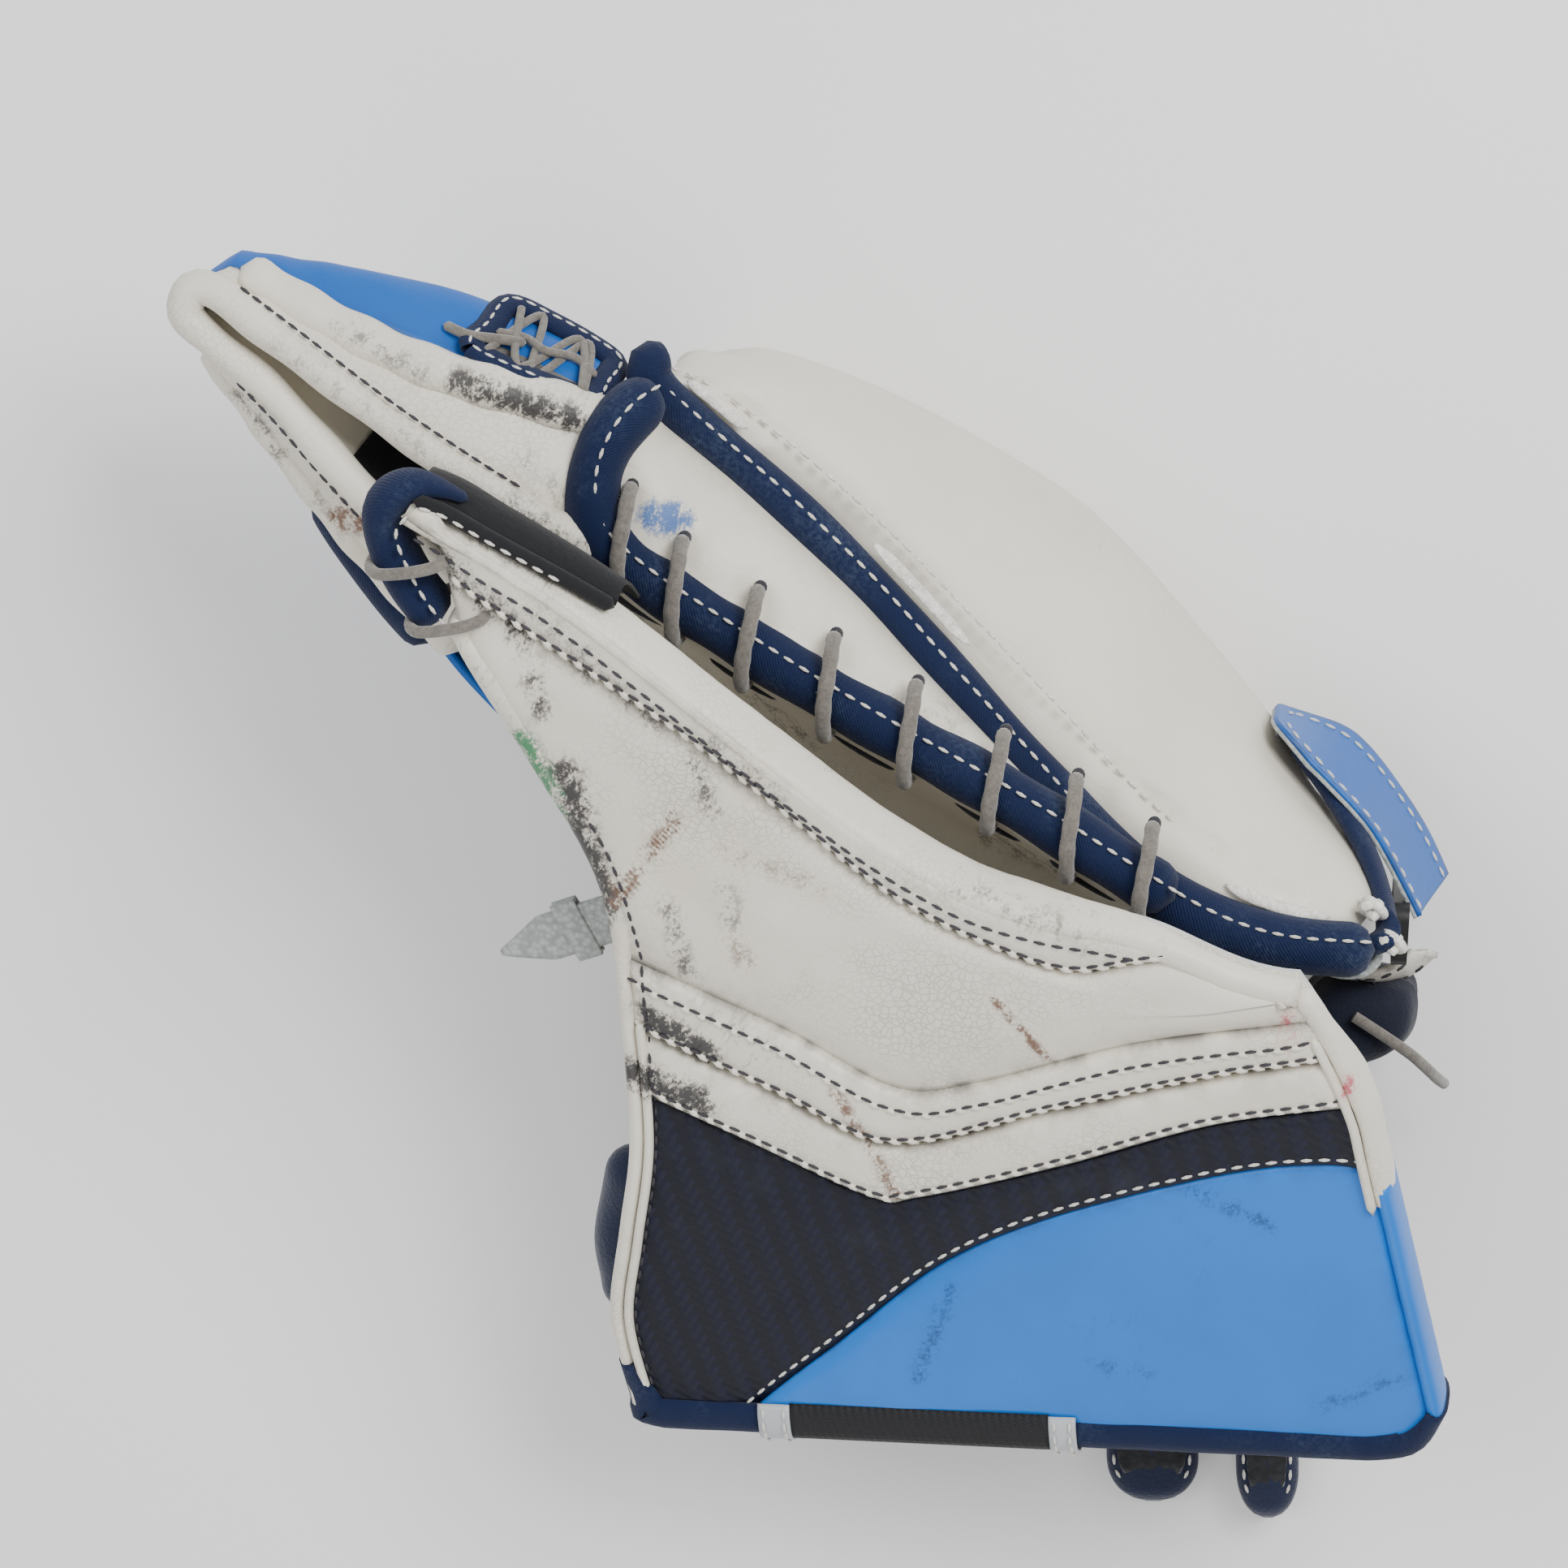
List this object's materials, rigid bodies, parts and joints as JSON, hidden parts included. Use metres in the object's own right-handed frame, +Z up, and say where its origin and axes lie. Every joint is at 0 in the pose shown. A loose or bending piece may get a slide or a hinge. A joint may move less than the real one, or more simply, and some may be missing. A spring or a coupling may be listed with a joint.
{
  "type": "hockey goalie glove",
  "caption": "Goalie catching glove for ice hockey, closed, with a flat padded cuff, a laced pocket with a folded T, a padded back and a wrist strap.",
  "frame": {"origin": "on the flat face of the backhand pad, which the glove rests on, under the palm", "axes": "+X along the pocket from the tip of the T to the heel and wrist, +Y out of the mouth of the pocket, +Z up from the rest face to the thumb and cuff board"},
  "size_m": [0.4148, 0.2634, 0.1578],
  "materials": {
    "white_leather": "worn white synthetic leather with fine cracks and scuffs",
    "blue_leather": "bright blue synthetic leather",
    "navy_binding": "navy twill binding tape",
    "navy_panel": "dark navy coarse woven fabric",
    "lace": "grey braided lace",
    "white_lace": "flat white braided lace",
    "black_fabric": "black woven fabric",
    "reflective_tab": "grey reflective tape",
    "webbing": "grey webbing",
    "hook_fastener": "black hook tape",
    "black_plastic": "moulded black plastic",
    "foam": "closed cell foam",
    "stiff_plastic": "stiff plastic sheet",
    "lining": "brushed lining",
    "pocket_leather": "soft white pocket leather"
  },
  "bodies": {
    "finger_side": {"backhand_pad_cover": "white_leather", "backhand_pad_foam": "foam", "backhand_binding": "navy_binding", "backhand_board": "stiff_plastic", "hand_liner": "lining", "finger_wall": "white_leather", "finger_stall_walls": "black_fabric", "laced_edge_binding": "navy_binding", "edge_lacing": "lace", "palm_leather": "white_leather", "palm_felt": "lining", "spine_fold": "white_leather", "heel_block": "white_leather", "wrist_wrap": "black_fabric", "wrap_tongue_inner": "navy_panel", "wrap_tongue_outer": "navy_panel", "strap_ring": "black_plastic", "strap_keeper": "white_leather", "wrist_guard": "navy_panel", "lace_knots": "lace", "pad_lacing": "white_lace", "lace_tail": "lace"},
    "thumb_side": {"lip_band": "white_leather", "thumb_panel": "white_leather", "welt_band_upper": "white_leather", "welt_band_lower": "white_leather", "navy_panel": "navy_panel", "blue_panel": "blue_leather", "cuff_core": "foam", "cuff_stiffener": "stiff_plastic", "cuff_lining": "lining", "lip_roll": "white_leather", "thumb_edge_piping": "white_leather", "heel_edge_piping": "white_leather", "cuff_end_binding": "navy_binding", "woven_tag": "black_fabric", "tag_tabs": "reflective_tab", "thumb_stall": "pocket_leather", "thumb_liner": "pocket_leather", "webbing_loop": "black_fabric", "cuff_gusset": "navy_panel", "thumb_tip_binding": "navy_binding", "thumb_lacing": "lace"},
    "adjust_strap": {"adjustment_webbing": "webbing"},
    "wrist_strap": {"wrist_strap": "blue_leather", "strap_hooks": "hook_fastener"},
    "pocket_web": {"tee_roll": "white_leather", "tee_band_upper": "white_leather", "tee_panel_upper": "blue_leather", "tee_band_lower": "white_leather", "tee_panel_lower": "blue_leather", "tee_binding": "navy_binding", "pocket_laces": "lace", "pocket_stem": "pocket_leather"}
  },
  "joints": [
    {"name": "thumb_break", "type": "hinge", "parent": "finger_side", "child": "thumb_side", "pos_m": [0, -0.084, 0.068], "axis": [1, 0, 0], "range_deg": [0, 20]},
    {"name": "web_fold", "type": "hinge", "parent": "finger_side", "child": "pocket_web", "pos_m": [0, -0.084, 0.068], "axis": [1, 0, 0], "range_deg": [0, 10]},
    {"name": "wrist_strap_peel", "type": "hinge", "parent": "finger_side", "child": "wrist_strap", "pos_m": [0.117, 0.03, 0.044], "axis": [0, 0, -1], "range_deg": [0, 100]},
    {"name": "adjust_strap_pull", "type": "slide", "parent": "thumb_side", "child": "adjust_strap", "axis": [-0.6097, -0.7602, -0.2244], "range_m": [0, 0.025]}
  ],
  "couplings": [
    {"joint": "web_fold", "follows": "thumb_break", "ratio": 0.5}
  ]
}
